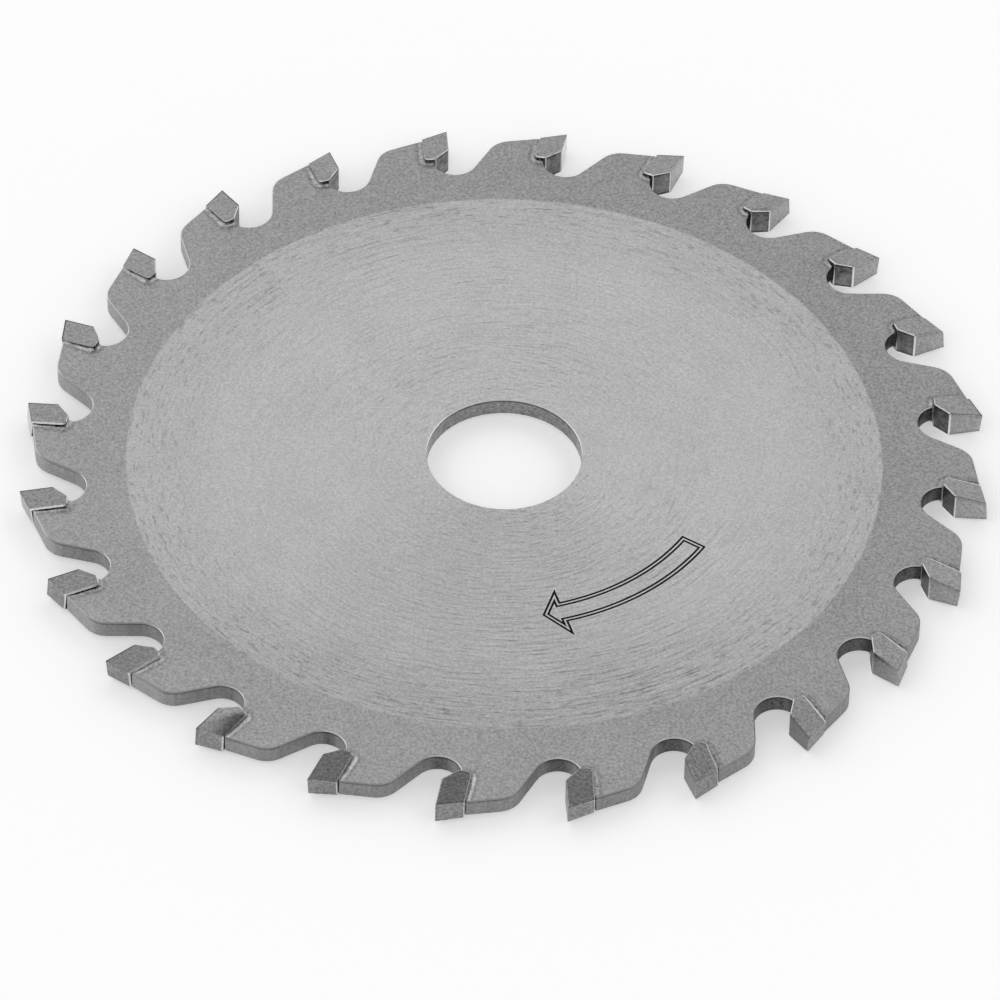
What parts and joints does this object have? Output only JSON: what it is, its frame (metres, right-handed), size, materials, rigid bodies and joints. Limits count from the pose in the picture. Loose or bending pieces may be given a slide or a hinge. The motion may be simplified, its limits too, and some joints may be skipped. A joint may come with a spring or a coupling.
{
  "type": "scoring saw blade",
  "caption": "Flat round steel blade with brazed conical carbide tips round its rim and a central bore, for scoring the underside of panels ahead of the main saw.",
  "frame": {"origin": "centre of the bore, midway through the plate's thickness", "axes": "+Z along the bore axis, towards the upper side, from which the blade turns clockwise; +Y away from the viewer of the picture"},
  "size_m": [0.124, 0.124, 0.004],
  "materials": {
    "plate_steel": "ground with fine concentric lines, matt blasted rim",
    "carbide": "ground satin",
    "silver_solder": "satin"
  },
  "bodies": {
    "root": {"blade_body": "plate_steel", "carbide_tip_01": "carbide", "carbide_tip_02": "carbide", "carbide_tip_03": "carbide", "carbide_tip_04": "carbide", "carbide_tip_05": "carbide", "carbide_tip_06": "carbide", "carbide_tip_07": "carbide", "carbide_tip_08": "carbide", "carbide_tip_09": "carbide", "carbide_tip_10": "carbide", "carbide_tip_11": "carbide", "carbide_tip_12": "carbide", "carbide_tip_13": "carbide", "carbide_tip_14": "carbide", "carbide_tip_15": "carbide", "carbide_tip_16": "carbide", "carbide_tip_17": "carbide", "carbide_tip_18": "carbide", "carbide_tip_19": "carbide", "carbide_tip_20": "carbide", "carbide_tip_21": "carbide", "carbide_tip_22": "carbide", "carbide_tip_23": "carbide", "carbide_tip_24": "carbide", "braze_seam_01": "silver_solder", "braze_seam_02": "silver_solder", "braze_seam_03": "silver_solder", "braze_seam_04": "silver_solder", "braze_seam_05": "silver_solder", "braze_seam_06": "silver_solder", "braze_seam_07": "silver_solder", "braze_seam_08": "silver_solder", "braze_seam_09": "silver_solder", "braze_seam_10": "silver_solder", "braze_seam_11": "silver_solder", "braze_seam_12": "silver_solder", "braze_seam_13": "silver_solder", "braze_seam_14": "silver_solder", "braze_seam_15": "silver_solder", "braze_seam_16": "silver_solder", "braze_seam_17": "silver_solder", "braze_seam_18": "silver_solder", "braze_seam_19": "silver_solder", "braze_seam_20": "silver_solder", "braze_seam_21": "silver_solder", "braze_seam_22": "silver_solder", "braze_seam_23": "silver_solder", "braze_seam_24": "silver_solder"}
  },
  "joints": []
}
